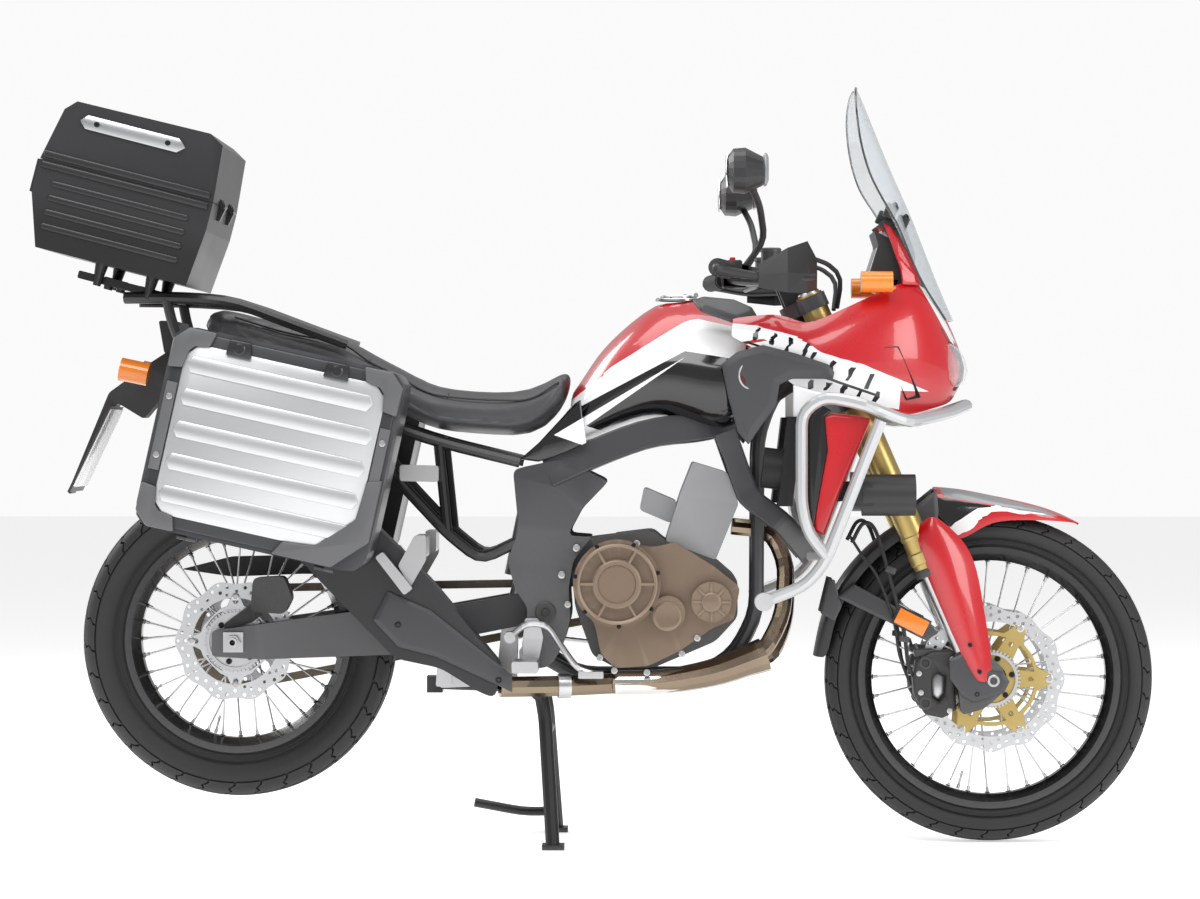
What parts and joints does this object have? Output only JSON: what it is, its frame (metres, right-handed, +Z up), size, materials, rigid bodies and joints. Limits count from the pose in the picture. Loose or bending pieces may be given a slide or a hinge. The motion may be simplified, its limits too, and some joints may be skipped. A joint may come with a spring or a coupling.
{
  "type": "adventure motorcycle",
  "caption": "Adventure touring motorcycle with spoked wheels, hard cases, a tall screen and crash bars, parked on its centre stand",
  "frame": {"origin": "the middle of the length and width, on the floor that the stand feet and the front tyre rest on", "axes": "+X forward along the motorcycle, +Y to its left, +Z up"},
  "size_m": [2.3574, 0.952, 1.594],
  "materials": {
    "frame_paint": "satin",
    "swingarm_paint": "satin",
    "axle_steel": "satin",
    "dark_rotor": "satin",
    "engine_metal": "matte",
    "bronze_cover": "satin",
    "head_metal": "satin",
    "radiator_black": "matte",
    "pipe_metal": "polished",
    "black_guard": "satin",
    "chain_steel": "satin",
    "black_plastic": "matte",
    "red_paint": "gloss",
    "grey_plastic": "satin",
    "seat_cover": "matte",
    "screen_clear": "gloss",
    "lamp_glass": "gloss",
    "bar_silver": "satin",
    "amber_lens": "gloss",
    "bare_alloy": "satin",
    "caliper_grey": "satin",
    "case_alloy": "satin",
    "case_plastic": "satin",
    "gold_alloy": "satin",
    "tyre_rubber": "matte",
    "rim_black": "gloss",
    "rubber": "matte"
  },
  "bodies": {
    "chassis": {"main_frame": "frame_paint", "subframe": "frame_paint", "swingarm": "swingarm_paint", "rear_axle": "axle_steel", "rear_shock": "axle_steel", "engine": "engine_metal", "engine_covers": "bronze_cover", "cylinder_head": "head_metal", "radiators": "radiator_black", "exhaust_pipes": "pipe_metal", "silencer": "black_guard", "drive_chain": "chain_steel", "rear_hugger": "black_plastic", "fuel_tank": "red_paint", "seat": "seat_cover", "front_cowl": "red_paint", "side_shrouds": "grey_plastic", "radiator_shrouds": "red_paint", "windscreen": "screen_clear", "instrument_panel": "black_plastic", "headlights": "lamp_glass", "crash_bars": "bar_silver", "fog_lamps": "black_guard", "rear_carrier": "frame_paint", "tail_unit": "black_plastic", "indicators": "amber_lens", "footrests": "bare_alloy", "foot_controls": "bare_alloy", "rear_caliper": "caliper_grey", "pannier_shells": "case_alloy", "top_box_base": "case_plastic"},
    "steering": {"fork": "gold_alloy", "fork_guards": "red_paint", "front_mudguard": "red_paint", "front_calipers": "caliper_grey", "handlebar": "frame_paint", "hand_guards": "black_plastic", "mirrors": "black_plastic", "bar_cables": "rubber", "front_axle": "axle_steel"},
    "front_wheel_set": {"front_tyre": "tyre_rubber", "front_wheel": "rim_black", "front_discs": "dark_rotor"},
    "rear_wheel_set": {"rear_tyre": "tyre_rubber", "rear_wheel": "rim_black", "rear_disc": "dark_rotor", "rear_sprocket": "axle_steel"},
    "centre_stand_body": {"centre_stand": "frame_paint"},
    "side_stand_body": {"side_stand": "frame_paint"},
    "top_lid_body": {"top_box_lid": "case_plastic"},
    "right_lid_body": {"pannier_lid_right": "case_alloy"},
    "left_lid_body": {"pannier_lid_left": "case_alloy"},
    "cap_body": {"fuel_cap": "bare_alloy"}
  },
  "joints": [
    {"name": "steering", "type": "hinge", "parent": "chassis", "child": "steering", "pos_m": [0.46488, 0, 1.03549], "axis": [-0.4003, 0, 0.9164], "range_deg": [-43, 43]},
    {"name": "front_wheel_spin", "type": "hinge", "parent": "steering", "child": "front_wheel_set", "pos_m": [0.83072, 0, 0.348], "axis": [0, 1, 0], "continuous": true},
    {"name": "rear_wheel_spin", "type": "hinge", "parent": "chassis", "child": "rear_wheel_set", "pos_m": [-0.75972, 0, 0.428], "axis": [0, 1, 0], "continuous": true},
    {"name": "centre_stand_fold", "type": "hinge", "parent": "chassis", "child": "centre_stand_body", "pos_m": [-0.11972, 0, 0.322], "axis": [0, 1, 0], "range_deg": [0, 78]},
    {"name": "side_stand_swing", "type": "hinge", "parent": "chassis", "child": "side_stand_body", "pos_m": [-0.14772, 0.176, 0.318], "axis": [0, -1, 0], "range_deg": [0, 100]},
    {"name": "top_box_lid_hinge", "type": "hinge", "parent": "chassis", "child": "top_lid_body", "pos_m": [-0.78602, 0, 1.34282], "axis": [0, 1, 0], "range_deg": [0, 75]},
    {"name": "right_pannier_hinge", "type": "hinge", "parent": "chassis", "child": "right_lid_body", "pos_m": [-0.69609, -0.397, 0.62531], "axis": [0.9759, 0, -0.2181], "range_deg": [0, 85]},
    {"name": "left_pannier_hinge", "type": "hinge", "parent": "chassis", "child": "left_lid_body", "pos_m": [-0.69609, 0.397, 0.62531], "axis": [-0.9759, 0, 0.2181], "range_deg": [0, 85]},
    {"name": "fuel_cap_hinge", "type": "hinge", "parent": "chassis", "child": "cap_body", "pos_m": [0.21028, 0, 1.159], "axis": [0, 1, 0], "range_deg": [0, 100]}
  ]
}
